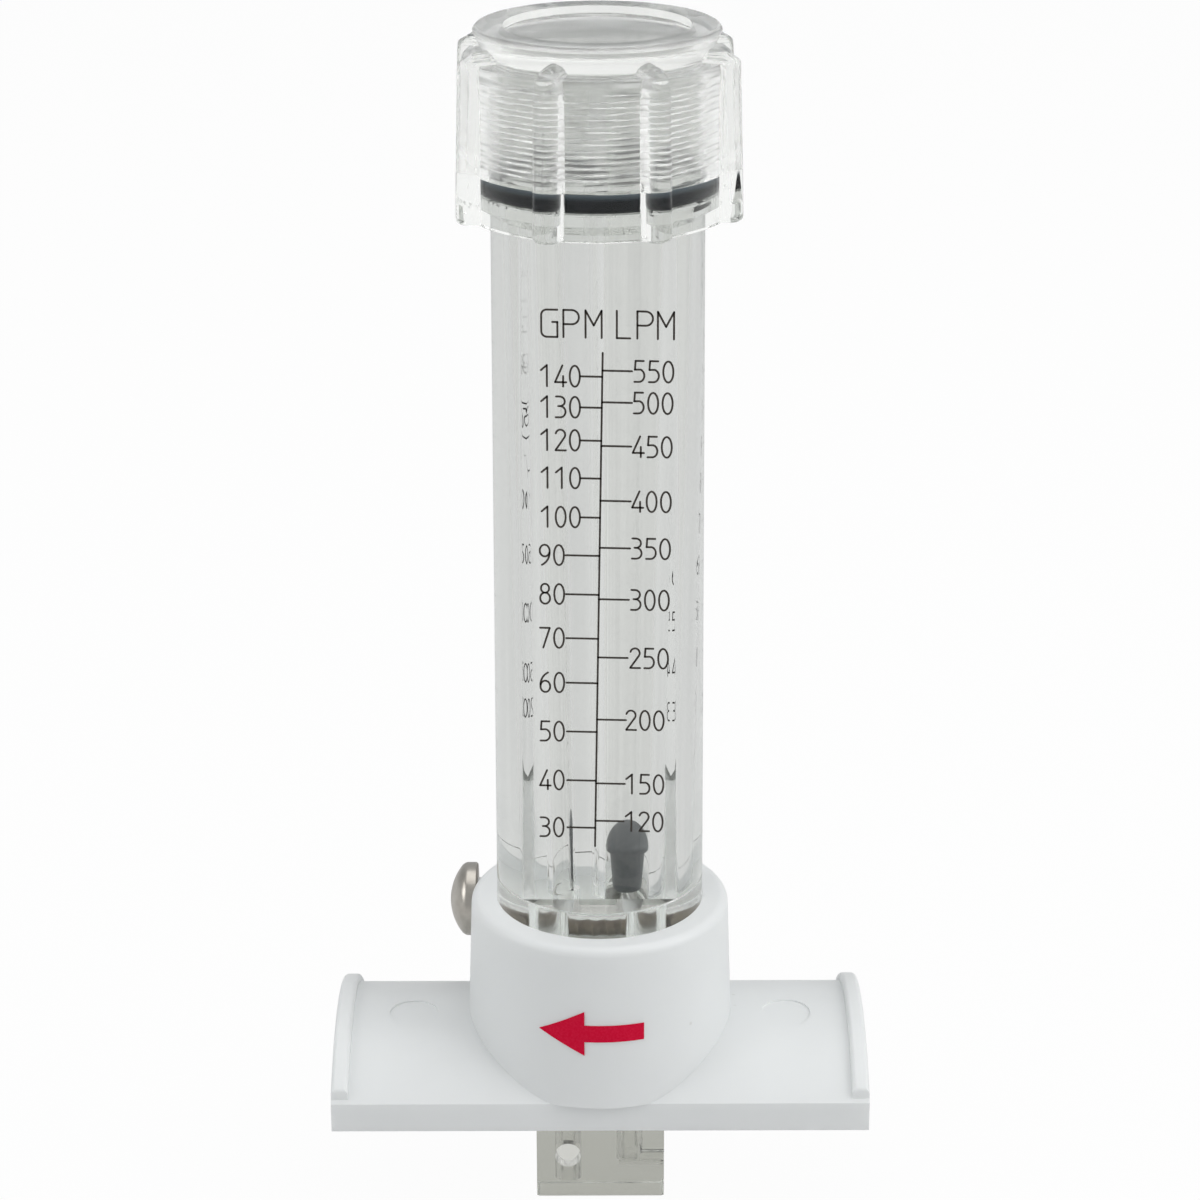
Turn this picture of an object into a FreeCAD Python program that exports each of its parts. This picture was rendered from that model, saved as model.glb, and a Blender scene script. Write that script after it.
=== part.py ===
import FreeCAD, Part
import math
import os

os.makedirs("parts", exist_ok=True)
V = FreeCAD.Vector

# Rotameter for a two-inch pipe. The origin is where the meter's axis meets the top of the
# pipe. The pipe runs along X, the flow goes towards -X, and the printed face looks to -Y.

# Pipe seat: saddle plate and gasket, both bent about the pipe's axis
PIPE_R = 30.15
GASKET_T = 1.5
GASKET_HALF_X = 46.0
GASKET_HALF_Y = 20.0
PLATE_R = 35.7
PLATE_HALF_X = 48.75
PLATE_HALF_Y = 22.9
END_RIB_W = 3.1
END_RIB_H = 1.45
END_RIB_INSET = 0.7
END_RIB_ROUND = 0.8
EJECTOR_X = 34.45
EJECTOR_Y = -3.4
EJECTOR_R = 4.5
EJECTOR_DEPTH = 0.25

# Boss: a slightly conical socket for the meter body
BOSS_TOP_Z = 28.55
BOSS_TOP_R = 23.5
BOSS_LOW_R = 24.6
BOSS_ROUND = 1.6
SOCKET_FLOOR_Z = 4.5
PROBE_HOLE_GAP = 0.4
SOCKET_CLEARANCE = 0.1

# Meter body: round rod with a flat face, and a rectangular probe below
BODY_LOW_R = 18.85
BODY_HIGH_R = 18.25
LEDGE_H = 4.85
TUBE_L = 129.05
FLAT_DEPTH = 6.05
FLANGE_R = 21.3
FLANGE_H = 4.1
FLANGE_SLOPE_H = 2.2
NECK_R = 18.05
NECK_L = 20.3
PROBE_HALF_X = 11.97
PROBE_HALF_Y = 4.75
PROBE_DROP = 33.3
PROBE_CHAMFER = 0.5

# Bores and passages inside the body. Both bores widen and lean outwards as they rise.
FLOAT_LOW_X = 4.95
FLOAT_TOP_X = 6.2
FLOAT_BORE_LOW_R = 6.4
FLOAT_BORE_TOP_R = 7.9
RETURN_LOW_X = -6.9
RETURN_TOP_X = -9.0
RETURN_LOW_R = 2.55
RETURN_TOP_R = 3.0
FLOOR_DROP = 2.4
INLET_X = 5.5
OUTLET_X = -6.1
PASSAGE_R = 2.5
PORT_R = 1.6
PORT_UP = 7.0
STATIC_R = 2.45
STATIC_UP = 9.1
STATIC_SUMP = 6.3
CROSSOVER_HALF_Y = 3.0
CROSSOVER_DEPTH = 9.0

# Float: a mushroom with a tapered stem
FLOAT_GAP = 0.3
FLOAT_STEM_FOOT_R = 4.2
FLOAT_STEM_HEAD_R = 5.1
FLOAT_HEAD_R = 6.1
FLOAT_STEM_L = 8.4
FLOAT_RIM_H = 1.0
FLOAT_DOME_H = 2.0

# Cap: ribbed cup with an internal thread land and a raised top disc
SKIRT_OVERHANG = 0.2
SKIRT_CLEARANCE = 0.4
SKIRT_WALL = 1.05
THREAD_CLEARANCE = 0.3
CEILING_GAP = 2.0
CEILING_CHAMFER = 1.5
SHOULDER_STEP = 0.1
DISC_H = 4.85
DISC_INSET = 1.85
DISC_UNDERCUT = 2.1
RECESS_INSET = 5.2
RECESS_DEPTH = 1.4
RIB_COUNT = 8
RIB_FIRST_DEG = 2.0
RIB_W = 5.2
RIB_LOW_OUT = 3.15
RIB_TOP_OUT = 2.35
RIB_FOOT_ROUND = 1.0
RIB_TOP_RISE = 0.4
RIB_TOP_SLOPE = 0.6
EDGE_ROUND = 1.2

# Seals
SEAL_GAP = 0.05
CAP_SEAL_R = 1.75
BODY_SEAL_R = 1.25
BODY_SEAL_INSET = 0.8

# Retaining screw: crosses the back of the body along X
SCREW_INSET = 4.35
SCREW_DROP = 8.5
SCREW_R = 2.5
SCREW_END_COVER = 1.4
SCREW_HOLE_CLEARANCE = 0.05
SCREW_GROOVE_CLEARANCE = 0.3
HEAD_R = 6.9
HEAD_CLEARANCE = 0.43
HEAD_RIM = 2.5
HEAD_DOME = 2.7
CROSS_HALF = 2.4
CROSS_W = 1.2
CROSS_DEPTH = 1.6
LUG_R = 4.0

# Flow arrow, printed on the boss and pointing to -X
FILM = 0.15
ARROW_DROP = 16.4
ARROW_TIP_X = -10.9
ARROW_NECK_X = -2.8
ARROW_TAIL_X = 7.9
ARROW_HEAD_HALF = 4.3
ARROW_SHAFT_HALF = 1.6

# Scale, printed on the flat face: one upright line, with ticks to its left and right.
# Heights count from the boss's top.
LINE_W = 0.35
LINE_TOP = (0.76, 107.2)
LINE_LOW = (-0.80, 15.4)
TICK_DROP = 0.03
LEFT_TICKS = (
    (-3.1, 103.0), (-3.1, 97.5), (-3.1, 91.6), (-3.1, 84.8), (-3.1, 77.7), (-5.7, 70.7),
    (-5.7, 63.5), (-5.7, 55.3), (-5.7, 46.9), (-5.7, 37.6), (-5.7, 28.2), (-5.7, 19.0),
)
RIGHT_TICKS = (
    (5.7, 104.1), (5.7, 98.5), (5.6, 90.7), (5.5, 80.8), (5.4, 72.2),
    (5.2, 62.7), (5.0, 51.8), (4.7, 40.0), (4.5, 27.7), (4.3, 20.4),
)

OVER = 1.0
PIPE_Z = -PIPE_R
SADDLE_R = PIPE_R + GASKET_T
EDGE_Z = PIPE_Z + math.sqrt(PLATE_R ** 2 - PLATE_HALF_Y ** 2)
BODY_SHOULDER_Z = SOCKET_FLOOR_Z + 2 * BODY_SEAL_R
BODY_SEAL_RING_R = BODY_LOW_R - BODY_SEAL_INSET - BODY_SEAL_R
PROBE_HOLE_R = math.hypot(PROBE_HALF_X, PROBE_HALF_Y) + PROBE_HOLE_GAP
LEDGE_Z = BOSS_TOP_Z + LEDGE_H
FLAT_Y = FLAT_DEPTH - BODY_LOW_R
FLANGE_LOW_Z = BOSS_TOP_Z + TUBE_L
FLANGE_HIGH_Z = FLANGE_LOW_Z + FLANGE_H
BODY_TOP_Z = FLANGE_HIGH_Z + NECK_L
PROBE_TIP_Z = -PROBE_DROP
BORE_FLOOR_Z = LEDGE_Z - FLOOR_DROP
PORT_Z = PROBE_TIP_Z + PORT_UP
STATIC_Z = PROBE_TIP_Z + STATIC_UP
STATIC_FLOOR_Z = STATIC_Z - STATIC_SUMP
CAP_LOW_Z = FLANGE_LOW_Z - SKIRT_OVERHANG
CAP_SKIRT_R = FLANGE_R + SKIRT_CLEARANCE
CAP_WALL_R = CAP_SKIRT_R + SKIRT_WALL
CAP_CEILING_Z = BODY_TOP_Z + CEILING_GAP
CAP_SHOULDER_Z = CAP_CEILING_Z + SHOULDER_STEP
CAP_TOP_Z = CAP_SHOULDER_Z + DISC_H
DISC_TOP_R = CAP_WALL_R - DISC_INSET
DISC_LOW_R = DISC_TOP_R - DISC_UNDERCUT
RECESS_R = DISC_TOP_R - RECESS_INSET
SCREW_Y = BODY_LOW_R - SCREW_INSET
SCREW_Z = BOSS_TOP_Z - SCREW_DROP
ARROW_Z = BOSS_TOP_Z - ARROW_DROP


def upright(radius, low, high, x=0.0, y=0.0):
    return Part.makeCylinder(radius, high - low, V(x, y, low))


def taper(low_r, high_r, low, high):
    return Part.makeCone(low_r, high_r, high - low, V(0, 0, low), V(0, 0, 1))


def leaning_bore(low_x, high_x, low_r, high_r):
    low = V(low_x, 0, BORE_FLOOR_Z)
    line = V(high_x, 0, BODY_TOP_Z + OVER) - low
    bore = Part.makeCone(low_r, high_r, line.Length, low, line)
    floor = block((-BODY_LOW_R, -BODY_LOW_R, BORE_FLOOR_Z - OVER),
                  (BODY_LOW_R, BODY_LOW_R, BORE_FLOOR_Z))
    return bore.cut(floor)


def along_x(radius, low, high, y=0.0, z=0.0):
    return Part.makeCylinder(radius, high - low, V(low, y, z), V(1, 0, 0))


def block(low, high):
    return Part.makeBox(high[0] - low[0], high[1] - low[1], high[2] - low[2], V(*low))


def ring(section_r, ring_r, z):
    return Part.makeTorus(ring_r, section_r, V(0, 0, z), V(0, 0, 1))


def polygon_face(points):
    return Part.Face(Part.makePolygon([V(*p) for p in points + points[:1]]))


def turned(profile):
    face = polygon_face([(r, 0, z) for r, z in profile])
    return face.revolve(V(0, 0, 0), V(0, 0, 1), 360)


def bent_plate(inner_r, outer_r, half_x, half_y):
    shell = along_x(outer_r, -half_x, half_x, z=PIPE_Z)
    shell = shell.cut(along_x(inner_r, -half_x - OVER, half_x + OVER, z=PIPE_Z))
    return shell.common(block((-half_x, -half_y, PIPE_Z + OVER), (half_x, half_y, BOSS_TOP_Z)))


def rounded(shape, radius, wanted):
    return shape.makeFillet(radius, [edge for edge in shape.Edges if wanted(edge)])


def is_circle(edge, radius, z):
    curve = edge.Curve
    if not isinstance(curve, Part.Circle):
        return False
    return abs(curve.Radius - radius) < 1e-4 and abs(curve.Center.z - z) < 1e-4


def is_on_pipe_radius(edge, radius):
    return all(abs(math.hypot(v.Y, v.Z - PIPE_Z) - radius) < 1e-4 for v in edge.Vertexes)


def boss_radius(z):
    share = (z - EDGE_Z) / (BOSS_TOP_Z - EDGE_Z)
    return BOSS_LOW_R + (BOSS_TOP_R - BOSS_LOW_R) * share


def head_seat_x():
    reach = SCREW_Y - HEAD_R
    return -math.sqrt(boss_radius(SCREW_Z) ** 2 - reach ** 2) - HEAD_CLEARANCE


def screw_end_x():
    return math.sqrt(boss_radius(SCREW_Z) ** 2 - SCREW_Y ** 2) - SCREW_END_COVER


def body_outside():
    rod = turned([
        (0, BODY_SHOULDER_Z), (BODY_LOW_R, BODY_SHOULDER_Z), (BODY_LOW_R, BOSS_TOP_Z),
        (BODY_HIGH_R, FLANGE_LOW_Z), (FLANGE_R, FLANGE_LOW_Z + FLANGE_SLOPE_H),
        (FLANGE_R, FLANGE_HIGH_Z),
        (NECK_R, FLANGE_HIGH_Z), (NECK_R, BODY_TOP_Z), (0, BODY_TOP_Z),
    ])
    front = FLAT_Y - 2 * BODY_LOW_R
    rod = rod.cut(block((-BODY_LOW_R, front, LEDGE_Z), (BODY_LOW_R, FLAT_Y, FLANGE_LOW_Z)))
    probe = block((-PROBE_HALF_X, -PROBE_HALF_Y, PROBE_TIP_Z),
                  (PROBE_HALF_X, PROBE_HALF_Y, BODY_SHOULDER_Z + OVER))
    tip_edges = [edge for edge in probe.Edges if edge.BoundBox.ZMax < PROBE_TIP_Z + 0.01]
    return rod.fuse(probe.makeChamfer(PROBE_CHAMFER, tip_edges))


def body_hollows():
    groove_r = SCREW_R + SCREW_GROOVE_CLEARANCE
    side = V(OUTLET_X, -PROBE_HALF_Y - OVER, STATIC_Z)
    return [
        leaning_bore(FLOAT_LOW_X, FLOAT_TOP_X, FLOAT_BORE_LOW_R, FLOAT_BORE_TOP_R),
        leaning_bore(RETURN_LOW_X, RETURN_TOP_X, RETURN_LOW_R, RETURN_TOP_R),
        upright(PASSAGE_R, PORT_Z, BORE_FLOOR_Z + OVER, INLET_X),
        upright(PASSAGE_R, STATIC_FLOOR_Z, BORE_FLOOR_Z + OVER, OUTLET_X),
        along_x(PORT_R, INLET_X - PASSAGE_R, PROBE_HALF_X + OVER, z=PORT_Z),
        Part.makeCylinder(STATIC_R, PROBE_HALF_Y + OVER, side, V(0, 1, 0)),
        along_x(groove_r, -BODY_LOW_R, BODY_LOW_R, SCREW_Y, SCREW_Z),
        block((RETURN_TOP_X, -CROSSOVER_HALF_Y, BODY_TOP_Z - CROSSOVER_DEPTH),
              (FLOAT_TOP_X, CROSSOVER_HALF_Y, BODY_TOP_Z + OVER)),
    ]


def meter_body():
    body = body_outside()
    for hollow in body_hollows():
        body = body.cut(hollow)
    return body


def float_piece():
    foot = BORE_FLOOR_Z + FLOAT_GAP
    under = foot + FLOAT_STEM_L
    rim = under + FLOAT_RIM_H
    bend_r = (FLOAT_HEAD_R ** 2 + FLOAT_DOME_H ** 2) / (2 * FLOAT_DOME_H)
    stem = taper(FLOAT_STEM_FOOT_R, FLOAT_STEM_HEAD_R, foot, under)
    ball = Part.makeSphere(bend_r, V(0, 0, rim + FLOAT_DOME_H - bend_r))
    dome = ball.common(upright(FLOAT_HEAD_R, rim, rim + FLOAT_DOME_H))
    piece = stem.fuse([upright(FLOAT_HEAD_R, under, rim), dome]).removeSplitter()
    lean = (FLOAT_TOP_X - FLOAT_LOW_X) / (BODY_TOP_Z - BORE_FLOOR_Z)
    piece.translate(V(FLOAT_LOW_X + lean * (under - BORE_FLOOR_Z), 0, 0))
    return piece


def rib_side():
    inner_x = DISC_LOW_R - RIB_TOP_RISE
    outer_x = CAP_WALL_R + RIB_W
    outer_z = CAP_SHOULDER_Z + RIB_TOP_RISE - RIB_TOP_SLOPE * (RIB_W - RIB_TOP_OUT)
    inner_z = outer_z + RIB_TOP_SLOPE * (outer_x - inner_x)
    side = polygon_face([
        (inner_x, -RIB_W, CAP_LOW_Z), (outer_x, -RIB_W, CAP_LOW_Z),
        (outer_x, -RIB_W, outer_z), (inner_x, -RIB_W, inner_z),
    ])
    return side.extrude(V(0, 2 * RIB_W, 0))


def cap_rib():
    half = RIB_W / 2
    low = V(CAP_WALL_R + RIB_LOW_OUT - half, 0, CAP_LOW_Z)
    high = V(CAP_WALL_R + RIB_TOP_OUT - half, 0, CAP_SHOULDER_Z)
    line = (high - low) * (CAP_TOP_Z - CAP_LOW_Z) * (1 / (CAP_SHOULDER_Z - CAP_LOW_Z))
    bar = Part.makeCylinder(half, line.Length, low, line)
    foot = [edge for edge in bar.Edges if edge.BoundBox.ZMax < CAP_LOW_Z + half]
    bar = bar.makeFillet(RIB_FOOT_ROUND, foot)
    root_z = CAP_SHOULDER_Z - SKIRT_WALL
    bar = bar.cut(upright(CAP_SKIRT_R + SKIRT_WALL / 2, CAP_LOW_Z - half, root_z))
    root = block((0, -half, root_z), (high.x, half, CAP_TOP_Z))
    return bar.fuse(root).common(rib_side()).removeSplitter()


def cap():
    land_z = FLANGE_HIGH_Z + 2 * CAP_SEAL_R + 2 * SEAL_GAP
    land_r = NECK_R + THREAD_CLEARANCE
    cup = turned([
        (CAP_SKIRT_R, CAP_LOW_Z), (CAP_WALL_R, CAP_LOW_Z), (CAP_WALL_R, CAP_SHOULDER_Z),
        (DISC_LOW_R, CAP_SHOULDER_Z), (DISC_TOP_R, CAP_TOP_Z), (RECESS_R, CAP_TOP_Z),
        (RECESS_R, CAP_TOP_Z - RECESS_DEPTH), (0, CAP_TOP_Z - RECESS_DEPTH), (0, CAP_CEILING_Z),
        (land_r - CEILING_CHAMFER, CAP_CEILING_Z), (land_r, CAP_CEILING_Z - CEILING_CHAMFER),
        (land_r, land_z), (CAP_SKIRT_R, land_z),
    ])
    cup = rounded(cup, EDGE_ROUND, lambda edge: is_circle(edge, DISC_TOP_R, CAP_TOP_Z))
    step = 360.0 / RIB_COUNT
    ribs = []
    for i in range(RIB_COUNT):
        rib = cap_rib()
        rib.rotate(V(0, 0, 0), V(0, 0, 1), RIB_FIRST_DEG + step * (i + 0.5))
        ribs.append(rib)
    return cup.fuse(ribs).removeSplitter()


def end_ribs():
    rib_r = PLATE_R + END_RIB_H
    hoop = bent_plate(PLATE_R - END_RIB_H, rib_r, PLATE_HALF_X, PLATE_HALF_Y)
    half = PLATE_HALF_X - END_RIB_W
    hoop = hoop.cut(block((-half, -PLATE_R, PIPE_Z), (half, PLATE_R, BOSS_TOP_Z)))
    front = -PLATE_HALF_Y + END_RIB_INSET
    hoop = hoop.cut(block((-PLATE_HALF_X, -PLATE_R, PIPE_Z), (PLATE_HALF_X, front, BOSS_TOP_Z)))
    return rounded(hoop, END_RIB_ROUND, lambda edge: is_on_pipe_radius(edge, rib_r))


def boss():
    cone = taper(BOSS_LOW_R, BOSS_TOP_R, EDGE_Z, BOSS_TOP_Z)
    cone = rounded(cone, BOSS_ROUND, lambda edge: is_circle(edge, BOSS_TOP_R, BOSS_TOP_Z))
    return cone.fuse(along_x(LUG_R, head_seat_x(), 0, SCREW_Y, SCREW_Z))


def saddle():
    plate = bent_plate(SADDLE_R, PLATE_R, PLATE_HALF_X, PLATE_HALF_Y)
    body = plate.fuse([end_ribs(), boss()])
    screw_hole = SCREW_R + SCREW_HOLE_CLEARANCE
    body = body.cut(upright(BODY_LOW_R + SOCKET_CLEARANCE, SOCKET_FLOOR_Z, BOSS_TOP_Z + OVER))
    body = body.cut(upright(PROBE_HOLE_R, PIPE_Z, SOCKET_FLOOR_Z + OVER))
    body = body.cut(along_x(SADDLE_R, -2 * BOSS_LOW_R, 2 * BOSS_LOW_R, z=PIPE_Z))
    low_x = head_seat_x() - OVER
    body = body.cut(along_x(screw_hole, low_x, screw_end_x() + OVER, SCREW_Y, SCREW_Z))
    mark_r = PLATE_R - EJECTOR_DEPTH
    for x in (-EJECTOR_X, EJECTOR_X):
        disc = upright(EJECTOR_R, 0, BOSS_TOP_Z, x, EJECTOR_Y)
        body = body.cut(disc.cut(along_x(mark_r, -PLATE_HALF_X, PLATE_HALF_X, z=PIPE_Z)))
    return body.removeSplitter()


def saddle_gasket():
    sheet = bent_plate(PIPE_R, SADDLE_R, GASKET_HALF_X, GASKET_HALF_Y)
    return sheet.cut(upright(PROBE_HOLE_R, PIPE_Z, BOSS_TOP_Z))


def retaining_screw():
    seat_x = head_seat_x()
    rim_x = seat_x - HEAD_RIM
    bend_r = (HEAD_R ** 2 + HEAD_DOME ** 2) / (2 * HEAD_DOME)
    ball = Part.makeSphere(bend_r, V(rim_x - HEAD_DOME + bend_r, SCREW_Y, SCREW_Z))
    dome = ball.common(along_x(HEAD_R, rim_x - HEAD_DOME, rim_x, SCREW_Y, SCREW_Z))
    rim = along_x(HEAD_R, rim_x, seat_x, SCREW_Y, SCREW_Z)
    shank = along_x(SCREW_R, seat_x, screw_end_x(), SCREW_Y, SCREW_Z)
    tip_x = rim_x - HEAD_DOME
    head = rim.fuse([dome, shank])
    for half_y, half_z in ((CROSS_HALF, CROSS_W / 2), (CROSS_W / 2, CROSS_HALF)):
        head = head.cut(block((tip_x - OVER, SCREW_Y - half_y, SCREW_Z - half_z),
                              (tip_x + CROSS_DEPTH, SCREW_Y + half_y, SCREW_Z + half_z)))
    return head.removeSplitter()


def flow_arrow():
    outline = polygon_face([
        (x, -BOSS_LOW_R - OVER, ARROW_Z + dz) for x, dz in (
            (ARROW_TIP_X, 0), (ARROW_NECK_X, ARROW_HEAD_HALF), (ARROW_NECK_X, ARROW_SHAFT_HALF),
            (ARROW_TAIL_X, ARROW_SHAFT_HALF), (ARROW_TAIL_X, -ARROW_SHAFT_HALF),
            (ARROW_NECK_X, -ARROW_SHAFT_HALF), (ARROW_NECK_X, -ARROW_HEAD_HALF),
        )
    ])
    film = taper(BOSS_LOW_R + FILM, BOSS_TOP_R + FILM, EDGE_Z, BOSS_TOP_Z)
    film = film.cut(taper(BOSS_LOW_R, BOSS_TOP_R, EDGE_Z, BOSS_TOP_Z))
    return film.common(outline.extrude(V(0, BOSS_LOW_R, 0)))


def bar(start, end):
    dx = end[0] - start[0]
    dz = end[1] - start[1]
    side = 0.5 * LINE_W / math.hypot(dx, dz)
    low = BOSS_TOP_Z + start[1]
    high = BOSS_TOP_Z + end[1]
    face = polygon_face([
        (start[0] - dz * side, FLAT_Y, low + dx * side),
        (end[0] - dz * side, FLAT_Y, high + dx * side),
        (end[0] + dz * side, FLAT_Y, high - dx * side),
        (start[0] + dz * side, FLAT_Y, low - dx * side),
    ])
    return face.extrude(V(0, -FILM, 0))


def line_x(z):
    share = (z - LINE_LOW[1]) / (LINE_TOP[1] - LINE_LOW[1])
    return LINE_LOW[0] + (LINE_TOP[0] - LINE_LOW[0]) * share


def tick(tip_x, z):
    root_x = line_x(z)
    return bar((root_x, z), (tip_x, z - TICK_DROP * (tip_x - root_x)))


def scale_print():
    ticks = [tick(x, z) for x, z in LEFT_TICKS + RIGHT_TICKS]
    return bar(LINE_LOW, LINE_TOP).fuse(ticks).removeSplitter()


cap_seal_z = FLANGE_HIGH_Z + SEAL_GAP + CAP_SEAL_R
body_seal_z = SOCKET_FLOOR_Z + BODY_SEAL_R
nodes = {
    "meter_body": meter_body(),
    "float": float_piece(),
    "cap": cap(),
    "cap_seal": ring(CAP_SEAL_R, NECK_R + SEAL_GAP + CAP_SEAL_R, cap_seal_z),
    "saddle": saddle(),
    "saddle_gasket": saddle_gasket(),
    "body_seal": ring(BODY_SEAL_R, BODY_SEAL_RING_R, body_seal_z),
    "retaining_screw": retaining_screw(),
    "flow_arrow": flow_arrow(),
    "scale_print": scale_print(),
}
for name, shape in nodes.items():
    shape.exportStep("parts/" + name + ".step")
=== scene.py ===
import math
import bpy
import bmesh
from mathutils import Matrix, Vector


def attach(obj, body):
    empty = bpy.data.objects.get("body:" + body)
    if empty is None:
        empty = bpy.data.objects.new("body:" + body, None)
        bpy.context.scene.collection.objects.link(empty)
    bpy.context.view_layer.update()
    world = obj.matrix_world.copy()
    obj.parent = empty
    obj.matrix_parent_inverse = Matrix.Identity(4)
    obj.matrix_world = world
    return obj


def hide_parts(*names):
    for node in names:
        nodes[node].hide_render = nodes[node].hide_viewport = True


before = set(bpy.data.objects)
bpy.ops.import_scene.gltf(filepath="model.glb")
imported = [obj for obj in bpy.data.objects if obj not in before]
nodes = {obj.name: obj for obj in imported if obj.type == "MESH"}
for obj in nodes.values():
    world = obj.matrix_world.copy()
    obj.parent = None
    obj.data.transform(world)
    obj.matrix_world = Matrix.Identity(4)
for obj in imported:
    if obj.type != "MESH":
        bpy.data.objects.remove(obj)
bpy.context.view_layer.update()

MM = 0.001
parts_shelf = bpy.context.scene.collection

# Sizes in millimetres. The origin is where the meter's axis meets the top of the pipe.
BODY_SHOULDER_Z = 7.0
BOSS_TOP_Z = 28.55
LEDGE_Z = 33.4
BORE_FLOOR_Z = 31.0
FLANGE_LOW_Z = 157.6
FLANGE_HIGH_Z = 161.7
BODY_TOP_Z = 182.0
BODY_LOW_R = 18.85
BODY_HIGH_R = 18.25
FLANGE_R = 21.3
NECK_R = 18.05
FLAT_Y = -12.8
PROBE_HALF_X = 11.97
PROBE_HALF_Y = 4.75
PROBE_TIP_Z = -33.3
SCREW_Y = 14.5
SCREW_Z = 20.05
SCREW_SEAT_X = -22.93
CAP_LOW_Z = 157.4
CAP_LAND_Z = 165.3
CAP_CEILING_Z = 184.0
CAP_SHOULDER_Z = 184.1
CAP_TOP_Z = 188.95
CAP_SKIRT_R = 21.7
CAP_WALL_R = 22.75
THREAD_PITCH = 2.0
THREAD_LAND_R = 18.35
THREAD_FROM_Z = 165.6
RING_STEP = 0.2

# Most times a ray may meet a clear surface
DEEPEST = 32

WHITE = (1.0, 1.0, 1.0, 1.0)
BLACK = (0.0, 0.0, 0.0, 1.0)

# ---------------------------------------------------------------- shader helpers


class Value:
    """One socket of a node tree. Arithmetic on it adds Math nodes."""

    def __init__(self, finish, socket):
        self.finish = finish
        self.socket = socket

    def math(self, operation, *others):
        return self.finish.math(operation, self, *others)

    def __add__(self, other):
        return self.math("ADD", other)

    def __sub__(self, other):
        return self.math("SUBTRACT", other)

    def __mul__(self, other):
        return self.math("MULTIPLY", other)

    def __radd__(self, other):
        return self.finish.math("ADD", other, self)

    def __rsub__(self, other):
        return self.finish.math("SUBTRACT", other, self)

    def __rmul__(self, other):
        return self.finish.math("MULTIPLY", other, self)

    def band(self, low, high):
        share = (self - low) * (1.0 / (high - low))
        return share.math("MAXIMUM", 0.0).math("MINIMUM", 1.0)


class Finish:
    """The node tree of a material or a world. It ends in the shader that end() is given."""

    def __init__(self, owner, shader, output):
        self.owner = owner
        owner.use_nodes = True
        self.tree = owner.node_tree
        self.shell = self.tree.nodes[shader]
        self.output = output

    def plug(self, socket, value):
        if isinstance(value, Value):
            self.tree.links.new(value.socket, socket)
        else:
            socket.default_value = value

    def node(self, kind, settings=None, inputs=None, output=0):
        made = self.tree.nodes.new("ShaderNode" + kind)
        for key, value in (settings or {}).items():
            setattr(made, key, value)
        for key, value in (inputs or {}).items():
            self.plug(made.inputs[key], value)
        return Value(self, made.outputs[output])

    def math(self, operation, *values):
        return self.node("Math", {"operation": operation}, dict(enumerate(values)))

    def place(self):
        return self.node("TexCoord", output="Object")

    def along(self, axis):
        return self.node("SeparateXYZ", {}, {0: self.place()}, axis)

    def stretched(self, x, y, z):
        inputs = {0: self.place(), 1: (x, y, z)}
        return self.node("VectorMath", {"operation": "MULTIPLY"}, inputs)

    def noise(self, scale, detail=3.0, where=None):
        inputs = {"Scale": scale, "Detail": detail, "Vector": where or self.place()}
        return self.node("TexNoise", {}, inputs)

    def blend(self, share, first, second):
        inputs = {0: share, 6: first, 7: second}
        return self.node("Mix", {"data_type": "RGBA"}, inputs, 2)

    def bump(self, height, depth_mm, strength=1.0):
        inputs = {"Height": height, "Distance": depth_mm * MM, "Strength": strength}
        return self.node("Bump", {}, inputs)

    def ray(self, kind):
        return self.node("LightPath", output=kind)

    def set(self, **values):
        for key, value in values.items():
            self.plug(self.shell.inputs[key.replace("_", " ")], value)
        return Value(self, self.shell.outputs[0])

    def blended_shader(self, share, first, second):
        return self.node("MixShader", {}, {0: share, 1: first, 2: second})

    def white_view(self):
        """1 for the rays that should meet a white background."""
        return self.ray("Is Camera Ray").math("MAXIMUM", self.ray("Is Transmission Ray"))

    def end(self, shader):
        self.tree.links.new(shader.socket, self.tree.nodes[self.output].inputs[0])
        return self.owner


def new_finish(name):
    return Finish(bpy.data.materials.new(name), "Principled BSDF", "Material Output")


# ---------------------------------------------------------------- finishes


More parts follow.
